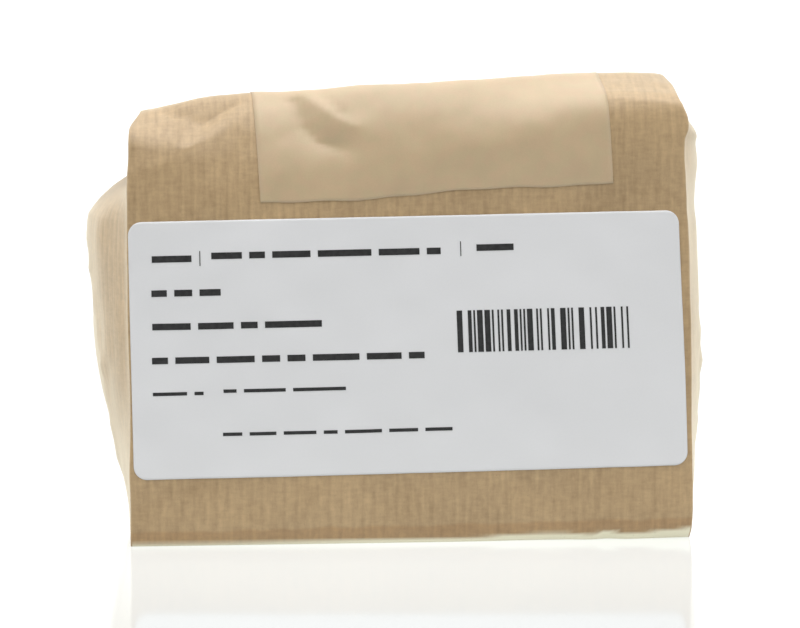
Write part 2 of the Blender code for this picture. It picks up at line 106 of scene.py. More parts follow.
# Label and tape, laid out on the flat front paper
LABEL_SIZE, LABEL_CENTRE, LABEL_TURN = (98.2, 45.6), (-0.5, 35.5), math.radians(0.85)
LABEL_CORNER = 2.4
LABEL_CELLS, LABEL_CORNER_CELLS = (96, 46), 6
LABEL_LIFT, LABEL_THICKNESS = 0.06, 0.10
TAPE_WIDTH, TAPE_LENGTH, TAPE_FOOT, TAPE_TURN = 63.0, 75.0, (5.0, 62.3), math.radians(3.3)
TAPE_LIFT, TAPE_THICKNESS = 0.06, 0.08
# Waves of the tape's torn end, as (height, wave number, phase), and how soon they die away
TAPE_WAVES, TAPE_WAVE_FADE = ((0.28, 0.16, 0.6), (0.10, 0.55, 0.0)), 5.0
# The tape's run behind the ridge: past the flap end, down a ramp, and on over the back, the rounding
# at both ends of the ramp, and the rows and columns of its grid
TAPE_PAST_FLAP, TAPE_RAMP, TAPE_BACK_RUN = 1.4, 5.0, 20.0
TAPE_CUTS = (1.2, 3.0)
TAPE_STRETCHES = ((0.0, 1.0, 0.5), (1.0, 10.0, 0.9), (10.0, 34.0, 0.4), (34.0, TAPE_LENGTH, 0.9))
TAPE_COLUMNS = 64
SLOPE_PROBE = 0.25
# Print, from the label's centre: the film's lower and upper face off the label, rows of plain bars in
# word lengths as (left, right, middle height, height), two thin rules as (left, bottom, width, height),
# and the upright bars as (left, right, bottom, height) with the widths of bars and gaps
INK_LIFT, INK_TOP = 0.01, 0.045
BOLD_PRINT, SMALL_PRINT = 1.15, 0.6
WORD_ROWS = (
    (-45.0, -38.0, 16.2, BOLD_PRINT), (-34.5, 7.0, 16.6, BOLD_PRINT), (12.6, 20.0, 17.0, BOLD_PRINT),
    (-45.2, -33.0, 10.2, BOLD_PRINT), (-45.2, -13.0, 4.3, BOLD_PRINT), (-45.4, 4.4, -1.7, BOLD_PRINT),
    (-45.4, -36.5, -7.6, SMALL_PRINT), (-33.0, -10.0, -7.3, SMALL_PRINT), (-33.3, 7.2, -15.0, SMALL_PRINT),
)
SYLLABLE, SHORTEST_WORD, WORD_GAP = (2.2, 3.4), 1.5, 1.3
UPRIGHT_RULES = ((-36.6, 14.9, 0.16, 2.6), (9.7, 15.6, 0.16, 2.6))
UPRIGHT_BARS = (8.6, 39.4, -1.4, 7.4)
BAR_WIDTHS = (0.33, 0.33, 0.66, 0.99)

# Camera, found from the bag's own corners and the photograph's frame
CAMERA_DISTANCE, CAMERA_TURN, CAMERA_RISE = 600.0, math.radians(-4.258), math.radians(6.831)
CAMERA_AIM = (-0.09, 0.0, 37.45)
CAMERA_LENS, SENSOR_WIDTH = 145.67, 36.0

# Studio light: the way towards the bright side and the bright patch overhead, the range of the
# lean towards each over which the light rises, and its brightness at the start and end of the range
WORLD_LEAN, LEAN_RANGE = (0.0, 0.94, 0.34), (-0.9, 0.1)
FRONT_LIGHT, BACK_LIGHT = 0.05, 1.35
OVERHEAD, OVERHEAD_RANGE, OVERHEAD_LIGHT = (0.0, -0.22, 0.975), (0.70, 0.95), 1.65

# White table: half size in metres, its own glow far away and added under the bag, and the glow's reach
TABLE_HALF = 30.0
TABLE_GREY, TABLE_GLOW_TINT = (0.25, 0.25, 0.25, 1.0), (0.96, 1.0, 0.985, 1.0)
TABLE_GLOW, NEAR_GLOW, NEAR_REACH = 0.34, 0.36, (0.20, 0.16)


def smooth_curve(stations, position):
    """Values at positions on a smooth curve through (position, value) pairs."""
    xs, ys = (np.array(part, float) for part in zip(*stations))
    slopes = np.empty_like(ys)
    slopes[1:-1] = (ys[2:] - ys[:-2]) / (xs[2:] - xs[:-2])
    slopes[0] = (ys[1] - ys[0]) / (xs[1] - xs[0])
    slopes[-1] = (ys[-1] - ys[-2]) / (xs[-1] - xs[-2])
    position = np.clip(position, xs[0], xs[-1])
    index = np.clip(np.searchsorted(xs, position, side="right") - 1, 0, len(xs) - 2)
    span = xs[index + 1] - xs[index]
    way = (position - xs[index]) / span
    return (ys[index] * (2 * way ** 3 - 3 * way ** 2 + 1)
            + slopes[index] * span * (way ** 3 - 2 * way ** 2 + way)
            + ys[index + 1] * (3 * way ** 2 - 2 * way ** 3)
            + slopes[index + 1] * span * (way ** 3 - way ** 2))


def unit(vectors):
    """The vectors at length 1."""
    return vectors / np.maximum(np.linalg.norm(vectors, axis=-1, keepdims=True), 1e-9)


def pairs(y, z):
    """An array of (Y, Z) pairs from numbers or arrays."""
    y, z = np.broadcast_arrays(np.asarray(y, float), np.asarray(z, float))
    return np.stack([y, z], axis=-1)


def rounded_path(corners, cuts):
    """Paths through corners, one path a row, each corner rounded from its cut length before it.

    After the corner the rounding takes the same length, or what the next corner leaves of the line."""
    points, middles = [corners[:, 0]], [0]
    for index, cut in enumerate(cuts):
        before, corner, after = (corners[:, index + step] for step in range(3))
        cut = np.reshape(cut, (-1, 1))
        following = np.reshape(cuts[index + 1], (-1, 1)) if index + 1 < len(cuts) else 0.0
        room = np.linalg.norm(after - corner, axis=-1, keepdims=True) - following - ROUNDING_GAP
        start = corner + unit(before - corner) * cut
        end = corner + unit(after - corner) * np.minimum(cut, room)
        middles.append(len(points) + CORNER_STEPS // 2)
        for step in range(CORNER_STEPS + 1):
            way = step / CORNER_STEPS
            points.append(start * (1 - way) ** 2 + corner * 2 * way * (1 - way) + end * way ** 2)
    points.append(corners[:, -1])
    middles.append(len(points) - 1)
    return np.stack(points, axis=1), middles


def distances(points):
    """The distance walked to each point of each path."""
    steps = np.linalg.norm(np.diff(points, axis=1), axis=-1)
    return np.concatenate([np.zeros((len(points), 1)), np.cumsum(steps, axis=1)], axis=1)


def walk(points, walked, distance):
    """The point at a distance along each path."""
    rows = np.arange(len(points))
    index = np.clip((walked < distance[:, None]).sum(axis=1) - 1, 0, points.shape[1] - 2)
    span = np.maximum(walked[rows, index + 1] - walked[rows, index], 1e-9)
    way = ((distance - walked[rows, index]) / span)[:, None]
    return points[rows, index] * (1 - way) + points[rows, index + 1] * way


def top_frame(x):
    """Ridge point, direction down the back slope, and the slope's upward normal, at each width."""
    ridge = pairs(smooth_curve(RIDGE_SETBACK, x) - HALF_DEPTH, smooth_curve(RIDGE_LINE, x))
    foot = pairs(HALF_DEPTH, BACK_SHOULDER)
    along = unit(foot - ridge)
    normal = pairs(-along[:, 1], along[:, 0])
    along = unit(foot + normal * (FLAP_THICKNESS + FLAP_GAP) - ridge)
    return ridge, along, pairs(-along[:, 1], along[:, 0])


def stacked(corners, count):
    """Corners that are the same for every path, or one a path, as one array."""
    return np.stack([np.broadcast_to(corner, (count, 2)) for corner in corners], axis=1)


def front_cuts(x):
    """Where the rounding of each front corner starts."""
    return [smooth_curve(HEM_LINE, x) * HEM_CUT, BAND_CUT, BROW_SOFTNESS, smooth_curve(CREST_SOFTNESS, x),
            RIDGE_CUT]


def front_corners(x):
    """Foot, hem, band, brow, crest, ridge and end of the flap."""
    ridge, along, _ = top_frame(x)
    hem = smooth_curve(HEM_LINE, x)
    return stacked([pairs(HEM_STEP + HEM_SLOPE * hem - HALF_DEPTH, 0.0), pairs(HEM_STEP - HALF_DEPTH, hem),
                    pairs(-HALF_DEPTH, smooth_curve(BAND_LINE, x)),
                    pairs(-HALF_DEPTH, smooth_curve(BROW_LINE, x)),
                    pairs(smooth_curve(CREST_SETBACK, x) - HALF_DEPTH, smooth_curve(CREST_LINE, x)),
                    ridge, ridge + along * FLAP_LENGTH], len(x))


def front_start(x):
    """Paper height of the front's foot, below zero so that heights match Z on the upright front."""
    corners = front_corners(x)[:, :3]
    climb = np.linalg.norm(np.diff(corners, axis=1), axis=-1).sum(axis=1)
    return smooth_curve(BAND_LINE, x) - climb


def back_corners(x):
    """Foot, band, shoulder, the turn under the flap and the mouth."""
    ridge, along, normal = top_frame(x)
    turn = ridge + along * (FLAP_THICKNESS + TURN_LEAD) - normal * FLAP_THICKNESS
    mouth = ridge + along * FLAP_LENGTH - normal * FLAP_THICKNESS
    return stacked([pairs(HALF_DEPTH - BASE_TUCK, 0.0), pairs(HALF_DEPTH, BASE_BAND),
                    pairs(HALF_DEPTH, BACK_SHOULDER), turn - normal * FLAP_GAP, turn, mouth], len(x))


def at_level(points, walked, stops, level):
    """Points of the paths at a level, and the distance walked to them; stops are levels 0 to 4."""
    rows = np.arange(len(points))
    index = np.clip(level.astype(int), 0, stops.shape[1] - 2)
    distance = stops[rows, index] + (stops[rows, index + 1] - stops[rows, index]) * (level - index)
    return walk(points, walked, distance), distance


def swell(x, height, amount):
    """How far a filled panel stands out between its folds."""
    across = np.cos(math.pi / 2 * np.minimum(np.abs(x) / HALF_WIDTH, 1.0))
    return amount * across * np.sin(math.pi * np.clip(height / BACK_SHOULDER, 0.0, 1.0))


def front_point(x, level):
    """Front panel, ridge and upper face of the flap, with the distance up the paper."""
    points, middles = rounded_path(front_corners(x), front_cuts(x))
    walked = distances(points)
    walked = walked + front_start(x)[:, None]
    stops = np.stack([walked[:, 0], np.full(len(x), SHOULDER), walked[:, middles[4]],
                      walked[:, middles[5]], walked[:, -1]], axis=1)
    place, distance = at_level(points, walked, stops, level)
    y = place[:, 0] - swell(x, place[:, 1], FRONT_SWELL)
    return np.stack([x, y, place[:, 1]], axis=1), distance


def back_point(x, level):
    """Back panel, back slope and lower face of the flap, with the distance up the paper."""
    points, middles = rounded_path(back_corners(x), [BAND_CUT, BACK_ROUNDING, MOUTH_CUT, MOUTH_CUT])
    walked = distances(points)
    slope = walked[:, middles[3]] - walked[:, middles[2]]
    stops = np.stack([np.zeros(len(x)), np.full(len(x), SHOULDER),
                      walked[:, middles[2]] + slope * SLOPE_SHARE,
                      walked[:, middles[3]] + FLAP_GAP / 2, walked[:, -1]], axis=1)
    place, distance = at_level(points, walked, stops, level)
    y = place[:, 0] + swell(x, place[:, 1], BACK_SWELL)
    return np.stack([x, y, place[:, 1]], axis=1), distance


class Lumps:
    """Smooth seeded noise over the flat paper: a few waves in random directions."""

    def __init__(self, seed, wavelength, count=14):
        rng = random.Random(seed)
        self.waves = []
        for _ in range(count):
            angle = rng.uniform(0, 2 * math.pi)
            size = 2 * math.pi / (wavelength * rng.uniform(0.7, 1.6))
            self.waves.append((size * math.cos(angle), size * math.sin(angle), rng.uniform(0, 2 * math.pi)))

    def __call__(self, u, s):
        total = sum(np.sin(a * u + b * s + phase) for a, b, phase in self.waves)
        return total / math.sqrt(len(self.waves) / 2)


BROAD_LUMPS = Lumps(3, 34.0)
ROOT_LUMPS = Lumps(7, 11.0)
FINE_LUMPS = Lumps(9, 4.5)
# Heights of the broad, root and fine lumps on each kind of panel
FRONT_LUMPS, GUSSET_LUMPS, BACK_LUMPS = (0.10, 0.05, 0.012), (0.16, 0.05, 0.01), (0.20, 0.14, 0.015)
PINCH = 8.0


def smoothstep(low, high, value):
    """From 0 at low to 1 at high, with no corner at either end."""
    way = np.clip((value - low) / (high - low), 0.0, 1.0)
    return way * way * (3 - 2 * way)


def crease(u, s, start, end, height, width, soft_end=4.0):
    """A pinched ridge, or a valley where height is negative, along a line on the flat paper."""
    ax, ay = start
    bx, by = end
    length = math.hypot(bx - ax, by - ay)
    dx, dy = (bx - ax) / length, (by - ay) / length
    along = (u - ax) * dx + (s - ay) * dy
    across = np.abs((s - ay) * dx - (u - ax) * dy)
    fade = smoothstep(-soft_end, soft_end * 0.3, along) * (1 - smoothstep(length - soft_end * 0.3,
                                                                         length + soft_end, along))
    side = np.exp(-across / width)
    return height * fade * side * (1 - np.exp(-PINCH * side))


def bent_fold(u, s, path, height, width):
    """A pinched ridge, or a valley where height is negative, along a bent line on the flat paper."""
    nearest = np.full(np.shape(u), np.inf)
    for (ax, ay), (bx, by) in zip(path, path[1:]):
        dx, dy = bx - ax, by - ay
        way = np.clip(((u - ax) * dx + (s - ay) * dy) / (dx * dx + dy * dy), 0.0, 1.0)
        nearest = np.minimum(nearest, np.hypot(u - ax - way * dx, s - ay - way * dy))
    return height * np.exp(-nearest / width)


# Bent folds of the front paper: (path, height, width), in flat paper millimetres
FRONT_FOLDS = (
    (((-21.0, 80.0), (-19.0, 74.8), (-16.4, 71.6), (-12.2, 70.6)), -1.5, 3.6),
    (((-19.4, 81.0), (-15.6, 77.6), (-10.5, 74.0)), 0.8, 2.4),
    (((-15.6, 80.6), (-12.6, 76.6)), -0.6, 1.8),
    (((-43.0, 79.4), (-41.2, 77.9), (-39.2, 77.3), (-37.0, 75.8), (-31.2, 79.8)), -0.8, 1.8),
)
# Creases of the front paper: (start, end, height, width)
FRONT_CREASES = (
    ((-43.0, 76.5), (-40.0, 77.2), 0.22, 0.7),
    ((-40.6, 70.2), (-38.6, 71.0), 0.20, 0.9),
    ((37.0, 79.0), (49.0, 77.6), 0.22, 0.8),
    ((20.0, 70.0), (44.0, 74.0), -0.10, 2.0),
    ((-49.0, 66.0), (-40.0, 69.0), 0.10, 1.6),
)
# Creases of the side gussets, from the middle crease of each
GUSSET_CREASES = (
    ((4.0, 5.0), (14.0, 30.0), 0.45, 1.6),
    ((-4.0, 5.0), (-14.0, 30.0), 0.45, 1.6),
    ((14.0, 30.0), (6.0, 50.0), 0.45, 1.1),
    ((-14.0, 30.0), (-5.0, 52.0), 0.45, 1.1),
    ((0.0, 40.0), (0.0, 58.0), -0.4, 1.6),
    ((-19.0, 34.0), (-17.0, 56.0), 0.35, 1.4),
    ((20.0, 44.0), (11.0, 57.0), -0.35, 1.4),
)
# Creases of the back panel
BACK_CREASES = (
    ((-42.0, 49.0), (-18.0, 58.0), 0.45, 1.0),
    ((20.0, 56.0), (44.0, 47.0), 0.45, 1.0),
    ((-30.0, 20.0), (8.0, 31.0), 0.18, 1.4),
    ((-4.0, 44.0), (24.0, 37.0), -0.18, 1.4),
    ((-46.0, 8.0), (-28.0, 15.0), 0.25, 1.0),
)


# Where relief fades away, as (start, end): behind the ridge, above the base, at the panels' side
# edges, up the gussets and the back, and on the back under the tape from its end and to its sides
RIDGE_FADE, HEM_FADE, BASE_FADE = (84.0, 92.0), (0.5, 3.0), (0.0, 3.0)
GUSSET_EDGE, BACK_EDGE, BACK_EDGE_SHARE = (0.0, 6.0), (0.0, 5.0), 0.25
GUSSET_TOP, BACK_TOP = (58.0, 68.0), (74.0, 84.0)
TAPED_UP, TAPED_ACROSS = (57.0, 66.0), (34.0, 42.0)
FLAP_FADE = (2.6, 2.9)


def front_relief(u, s):
    """How far the front paper stands off its plain shape, at flat paper places."""
    body = 1 - smoothstep(*RIDGE_FADE, s)
    broad, root, fine = FRONT_LUMPS
    total = body * (broad * BROAD_LUMPS(u, s) + root * ROOT_LUMPS(u, s)) + fine * FINE_LUMPS(u, s)
    for path, height, width in FRONT_FOLDS:
        total = total + bent_fold(u, s, path, height, width)
    for start, end, height, width in FRONT_CREASES:
        total = total + crease(u, s, start, end, height, width)
    return total * smoothstep(*HEM_FADE, s)


def gusset_relief(u, s):
    """The same for a side gusset, with u counted from its own middle crease."""
    broad, root, fine = GUSSET_LUMPS
    total = broad * BROAD_LUMPS(u * 1.3 + 70, s) + root * ROOT_LUMPS(u + 31, s) + fine * FINE_LUMPS(u, s)
    for start, end, height, width in GUSSET_CREASES:
        total = total + crease(u, s, start, end, height, width)
    edge = smoothstep(*GUSSET_EDGE, HALF_DEPTH - np.abs(u))
    return total * smoothstep(*BASE_FADE, s) * edge * (1 - smoothstep(*GUSSET_TOP, s))


def back_relief(u, s):
    """The same for the back panel."""
    broad, root, fine = BACK_LUMPS
    total = broad * BROAD_LUMPS(u + 19, s * 1.1) + root * ROOT_LUMPS(u, s + 43) + fine * FINE_LUMPS(u, s)
    for start, end, height, width in BACK_CREASES:
        total = total + crease(u, s, start, end, height, width)
    edge = smoothstep(*BACK_EDGE, HALF_WIDTH - np.abs(u))
    edge = BACK_EDGE_SHARE + (1 - BACK_EDGE_SHARE) * edge
    taped = smoothstep(*TAPED_UP, s) * (1 - smoothstep(*TAPED_ACROSS, np.abs(u)))
    free = (1 - taped) * (1 - smoothstep(*BACK_TOP, s))
    return total * smoothstep(*BASE_FADE, s) * edge * free


def spaced(stations):
    """Positions through (start, end, spacing) stretches."""
    stops = []
    for start, end, spacing in stations:
        count = max(1, round((end - start) / spacing))
        stops += [start + (end - start) * step / count for step in range(count)]
    return np.array(stops + [stations[-1][1]])


# Columns round the bag and rings up it, as (start, end, spacing) stretches: across the front and the
# back in fractions of their width, over half a gusset from fold to middle crease, and up in levels
FRONT_STRETCHES = ((0.0, 0.03, 0.0075), (0.03, 0.25, 0.0085), (0.25, 0.42, 0.006), (0.42, 0.97, 0.0105),
                   (0.97, 1.0, 0.0075))
BACK_STRETCHES = ((0.0, 0.04, 0.02), (0.04, 0.96, 0.02), (0.96, 1.0, 0.02))
GUSSET_STRETCHES = ((0.0, 0.2, 0.067), (0.2, 0.85, 0.081), (0.85, 1.0, 0.05))
LEVEL_STRETCHES = ((0.0, 0.06, 0.012), (0.06, 0.92, 0.0225), (0.92, 1.3, 0.022), (1.3, 2.25, 0.019),
                   (2.25, 2.8, 0.04), (2.8, 2.995, 0.016), (3.005, 3.15, 0.016), (3.15, 4.0, 0.05))
FOLD_TURNS = (22.5, 45.0, 67.5, 90.0)


def bag_columns():
    """Columns round one ring from the front's left fold: (panel, side, back half or not, place).

    The side is -1 left, 1 right and 0 for front and back. The place is a fraction from left to right
    on front and back, an angle round a fold, or a fraction from a fold to the gusset's middle crease."""
    front, back = spaced(FRONT_STRETCHES), spaced(BACK_STRETCHES)
    half, corner = spaced(GUSSET_STRETCHES), np.radians(FOLD_TURNS)
    runs = (("front", 0, False, front),
            ("corner", 1, False, corner), ("gusset", 1, False, half),
            ("gusset", 1, True, half[::-1]), ("corner", 1, True, corner[::-1]),
            ("back", 0, True, back[::-1]),
            ("corner", -1, True, corner), ("gusset", -1, True, half),
            ("gusset", -1, False, half[::-1]), ("corner", -1, False, corner[::-1]))
    return [(panel, side, is_back, place) for panel, side, is_back, places in runs for place in places]


def bag_grid(levels, columns):
    """Points of the whole sheet, ring by ring, with flat paper places.

    A point lies between the front's and the back's path at its X and level: inset is how far from its
    own path, in millimetres on a corner and as a share of the half gap on a gusset."""
    shape = (len(levels), len(columns))
    level = np.repeat(levels[:, None], shape[1], axis=1)
    folds = {-1: smooth_curve(FRONT_LEFT, levels), 1: smooth_curve(FRONT_RIGHT, levels)}
    reaches = {-1: smooth_curve(LEFT_GUSSET, levels), 1: smooth_curve(RIGHT_GUSSET, levels)}
    low, high = -folds[-1] + FOLD_RADIUS, folds[1] - FOLD_RADIUS
    x, inset = np.zeros(shape), np.zeros(shape)
    paper_u = np.zeros(shape)
    is_back, is_gusset = np.zeros(shape, bool), np.zeros(shape, bool)
    for index, (panel, side, back, place) in enumerate(columns):
        is_back[:, index] = back
        is_gusset[:, index] = panel == "gusset"
        if panel == "gusset":
            bow = GUSSET_BOW * np.clip(reaches[side] / FULL_BOW_REACH, 0.0, 1.0)
            x[:, index] = side * (folds[side] + reaches[side] * place + bow * math.sin(math.pi * place))
            inset[:, index] = place
            paper_u[:, index] = HALF_DEPTH * (1 - place) * (1 if back else -1)
        elif panel == "corner":
            x[:, index] = side * (folds[side] - FOLD_RADIUS + FOLD_RADIUS * math.sin(place))
            inset[:, index] = FOLD_RADIUS * (1 - math.cos(place))
            paper_u[:, index] = x[:, index]
        else:
            x[:, index] = low + (high - low) * place
            paper_u[:, index] = x[:, index]
    flat = (x.ravel(), level.ravel())
    front, front_s = front_point(*flat)
    back, back_s = back_point(*flat)
    front, back = front.reshape(*shape, 3), back.reshape(*shape, 3)
    front_s, back_s = front_s.reshape(shape), back_s.reshape(shape)
    gap = np.linalg.norm(back - front, axis=-1)
    in_flap = FLAP_THICKNESS / 2 - POCKET
    pitch = np.clip(in_flap / FLAP_THICKNESS * gap, in_flap, MOST_PITCH)
    pocket = np.minimum(POCKET / FLAP_THICKNESS * gap, MOST_POCKET)
    depth = np.where(is_gusset, pitch + (gap / 2 - pocket - pitch) * inset, inset)
    share = np.where(is_back, 1 - depth / gap, depth / gap)[..., None]
    points = front * (1 - share) + back * share
    climbed = front_s * (1 - share[..., 0]) + back_s * share[..., 0]
    return points, paper_u, climbed, is_back, is_gusset, level


def outward(points, closed):
    """Unit normals of a grid whose rows rise and whose columns go anticlockwise."""
    if closed:
        across = np.roll(points, -1, axis=1) - np.roll(points, 1, axis=1)
    else:
        across = np.gradient(points, axis=1)
    up = np.gradient(points, axis=0)
    return unit(np.cross(across, up))


def relieved_bag(levels, columns):
    """The sheet with its lumps, folds and creases, and the flat place of every point."""
    points, u, s, is_back, is_gusset, level = bag_grid(levels, columns)
    panel = np.where(is_back, back_relief(-u, s), front_relief(u, s))
    relief = np.where(is_gusset, gusset_relief(u, s), panel)
    flap = 1 - smoothstep(*FLAP_FADE, level)
    relief = np.where(is_back | is_gusset, relief * flap, relief)
    return points + outward(points, True) * relief[..., None], u, s


def paper_surface(across, height):
    """Points of the front paper, its ridge and the run over the flap and back slope, and normals."""
    def place(u, s):
        left = -smooth_curve(FRONT_LEFT, np.minimum(s / SHOULDER, 1.0))
        right = smooth_curve(FRONT_RIGHT, np.minimum(s / SHOULDER, 1.0))
        x = left + (right - left) * (u / (2 * HALF_WIDTH) + 0.5)
        ridge, along, normal = top_frame(x)
        flap_end = ridge + along * (FLAP_LENGTH + TAPE_PAST_FLAP)
        ramp_foot = flap_end + along * TAPE_RAMP - normal * (FLAP_THICKNESS + FLAP_GAP)
        behind = [flap_end, ramp_foot, pairs(HALF_DEPTH, BACK_SHOULDER),
                  pairs(HALF_DEPTH, SHOULDER - TAPE_BACK_RUN)]
        corners = np.concatenate([front_corners(x)[:, :6], stacked(behind, len(x))], axis=1)
        points, _ = rounded_path(corners, front_cuts(x) + [*TAPE_CUTS, BACK_ROUNDING])
        spot = walk(points, distances(points) + front_start(x)[:, None], s)
        y = spot[:, 0] - swell(x, np.minimum(s, BACK_SHOULDER), FRONT_SWELL)
        return np.stack([x, y, spot[:, 1]], axis=1)
    step = SLOPE_PROBE
    here = place(across, height)
    right = place(across + step, height) - place(across - step, height)
    up = place(across, height + step) - place(across, height - step)
    normal = unit(np.cross(right, up))
    return here + normal * front_relief(here[:, 0], height)[:, None], normal


def sheet_mesh(name, points, flat, closed_across=False):
    """A mesh over a grid of points, with the flat paper places as its UV map."""
    rows, columns = points.shape[:2]
    mesh = bpy.data.meshes.new(name)
    grid = np.arange(rows * columns).reshape(rows, columns)
    after = np.roll(grid, -1, axis=1)
    if not closed_across:
        grid, after = grid[:, :-1], after[:, :-1]
    faces = np.stack([grid[:-1], after[:-1], after[1:], grid[1:]], axis=-1).reshape(-1, 4)
    mesh.from_pydata((points.reshape(-1, 3) * MM).tolist(), [], faces.tolist())
    layer = mesh.uv_layers.new(name="paper")
    places = flat.reshape(-1, 2)[faces.ravel()]
    layer.data.foreach_set("uv", places.ravel())
    return mesh


def keep_values(mesh, name, values):
    """A number a vertex that the mesh's material reads."""
    layer = mesh.attributes.new(name, "FLOAT", "POINT")
    layer.data.foreach_set("value", np.asarray(values, np.float32).ravel())


def smooth(mesh, sharp_degrees=60.0):
    """Smooth shading that stays crisp at the folds."""
    mesh.shade_smooth()
    mesh.set_sharp_from_angle(angle=math.radians(sharp_degrees))


def add_piece(name, mesh, material):
    """A visible piece of the part that rides on its one body."""
    piece = bpy.data.objects.new(name, mesh)
    piece.data.materials.append(material)
    bpy.context.scene.collection.objects.link(piece)
    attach(piece, "root")
    return piece


class Nodes:
    """Short calls for building a material's nodes."""

    def __init__(self, name):
        self.material = bpy.data.materials.new(name)
        self.material.use_nodes = True
        self.tree = self.material.node_tree
        self.shader = self.tree.nodes["Principled BSDF"]

    def new(self, kind, **settings):
        """A new node with its settings."""
        node = self.tree.nodes.new(kind)
        for key, value in settings.items():
            setattr(node, key, value)
        return node

    def feed(self, socket, value):
        """Link or set an input."""
        if hasattr(value, "is_linked"):
            self.tree.links.new(value, socket)
        else:
            socket.default_value = value

    def math(self, operation, *values):
        """One step of arithmetic."""
        node = self.new("ShaderNodeMath", operation=operation)
        for socket, value in zip(node.inputs, values):
            self.feed(socket, value)
        return node.outputs[0]

    def noise(self, vector, scale, detail=3.0, roughness=0.5):
        """Cloudy noise from 0 to 1."""
        node = self.new("ShaderNodeTexNoise")
        self.feed(node.inputs["Vector"], vector)
        node.inputs["Scale"].default_value = scale
        node.inputs["Detail"].default_value = detail
        node.inputs["Roughness"].default_value = roughness
        return node.outputs["Fac"]

    def stretch(self, vector, scale):
        """The place scaled along each axis."""
        node = self.new("ShaderNodeMapping")
        self.feed(node.inputs["Vector"], vector)
        node.inputs["Scale"].default_value = scale
        return node.outputs["Vector"]

    def ramp(self, value, stops):
        """A colour for each value, from (position, colour) stops."""
        node = self.new("ShaderNodeValToRGB")
        self.feed(node.inputs["Fac"], value)
        while len(node.color_ramp.elements) < len(stops):
            node.color_ramp.elements.new(0.5)
        for element, (position, colour) in zip(node.color_ramp.elements, stops):
            element.position = position
            element.color = (*colour, 1.0)
        return node.outputs["Color"]

    def mix(self, share, first, second, blend="MIX"):
        """Two colours mixed or multiplied."""
        node = self.new("ShaderNodeMix", data_type="RGBA", blend_type=blend)
        self.feed(node.inputs["Factor"], share)
        self.feed(node.inputs[6], first)
        self.feed(node.inputs[7], second)
        return node.outputs[2]

    def bump(self, height, distance, strength=1.0):
        """The shading normal of a fine relief."""
        node = self.new("ShaderNodeBump")
        node.inputs["Strength"].default_value = strength
        node.inputs["Distance"].default_value = distance
        self.feed(node.inputs["Height"], height)
        return node.outputs["Normal"]

    def uv(self):
        """The place on the flat paper, in millimetres."""
        return self.new("ShaderNodeUVMap", uv_map="paper").outputs["UV"]

    def solid(self):
        """The place in the object, in metres."""
        return self.new("ShaderNodeTexCoord").outputs["Object"]


# Colours
KRAFT_DARK, KRAFT, KRAFT_PALE = (0.318, 0.200, 0.084), (0.452, 0.303, 0.147), (0.588, 0.400, 0.200)
# The fold tint is painted shade along the underside's folds and the outer flap's edge
BAND_TINT, FOLD_SHADE_TINT = (0.90, 0.81, 0.68, 1.0), (0.72, 0.70, 0.68, 1.0)
# The hem's cream is painted glare, a pale highlight on the foot of the front
HEM_GLARE_CREAM, SHEEN_TINT = (0.97, 0.93, 0.70, 1.0), (1.0, 0.95, 0.78, 1.0)
SPECK_SHADE = 0.55
TAPE_WARM, TAPE_GREEN = (0.570, 0.415, 0.250, 1.0), (0.556, 0.424, 0.250, 1.0)
LABEL_WHITE = (0.80, 0.80, 0.81)
ROOT_SKIN, ROOT_MIDDLE, ROOT_CUT = (0.16, 0.06, 0.025), (0.38, 0.19, 0.09), (0.62, 0.42, 0.24)
BLACK, WHITE = (0.0, 0.0, 0.0), (1.0, 1.0, 1.0)
# Ribs of the kraft paper in millimetres, their share in its tone, and the pale and dark ends of the tone
WIDE_RIB, NARROW_RIB, RIB_DRIFT, RIB_SHARE = 2.0, 1.0, 0.9, 0.065
DARK_END, PALE_END = 0.34, 0.66
# The darker band above the base: rise to the right, waviness, and where it ends, in centimetres
BAND_SLOPE, BAND_WOBBLE, BAND_SOLID, BAND_GONE = 0.014, 1.6, 0.21, 0.27
# Painted glare on the hem's foot, a pale cream highlight: its soft edge in millimetres about the hem line,
# and how pale it is
HEM_GLARE_EDGE, HEM_GLARE_SHARE = (-0.2, 0.35), 0.88
# Noises over the flat paper: (scale across, scale up, detail, roughness)
KRAFT_NOISES = {
    "drift": (0.9, 0.035, 2.0, 0.5),
    "patch": (0.7, 0.32, 4.0, 0.6),
    "streak": (1.3, 0.20, 3.0, 0.6),
    "mottle": (0.75, 0.55, 3.0, 0.6),
    "cloud": (0.07, 0.06, 3.0, 0.5),
    "fibre": (7.0, 2.6, 4.0, 0.7),
    "weft": (0.45, 1.7, 3.0, 0.6),
    "wobble": (0.16, 0.05, 3.0, 0.5),
    "specks": (3.4, 2.2, 1.0, 0.5),
}
KRAFT_SHARES = {"streak": 0.24, "weft": 0.17, "mottle": 0.22, "fibre": 0.10, "cloud": 0.27}


def shade(colour, factor):
    """A colour made darker or lighter."""
    return tuple(part * factor for part in colour)


def base_folds(n, parts):
    """Distance from the fold lines of the underside: the outer flap's edge and the four diagonals, where
    the paper gets painted shade and a bump.
    """
    y = n.math("ADD", parts.outputs["Y"], BASE_SHIFT)
    across, along = n.math("ABSOLUTE", y), n.math("ABSOLUTE", parts.outputs["X"])
    corner = HALF_WIDTH - HALF_DEPTH
    diagonal = n.math("ABSOLUTE", n.math("SUBTRACT", n.math("SUBTRACT", along, across), corner))
    hidden = n.math("LESS_THAN", across, BASE_FLAP)
    edge = n.math("ABSOLUTE", n.math("SUBTRACT", y, BASE_FLAP))
    past = n.math("GREATER_THAN", along, corner + BASE_FLAP)
    elsewhere = n.math("GREATER_THAN", parts.outputs["Y"], -BASE_SHIFT / 2)
    far = 9.0
    fold = n.math("MINIMUM", n.math("ADD", diagonal, n.math("MULTIPLY", hidden, far)),
                  n.math("ADD", edge, n.math("MULTIPLY", past, far)))
    return n.math("ADD", fold, n.math("MULTIPLY", elsewhere, far))


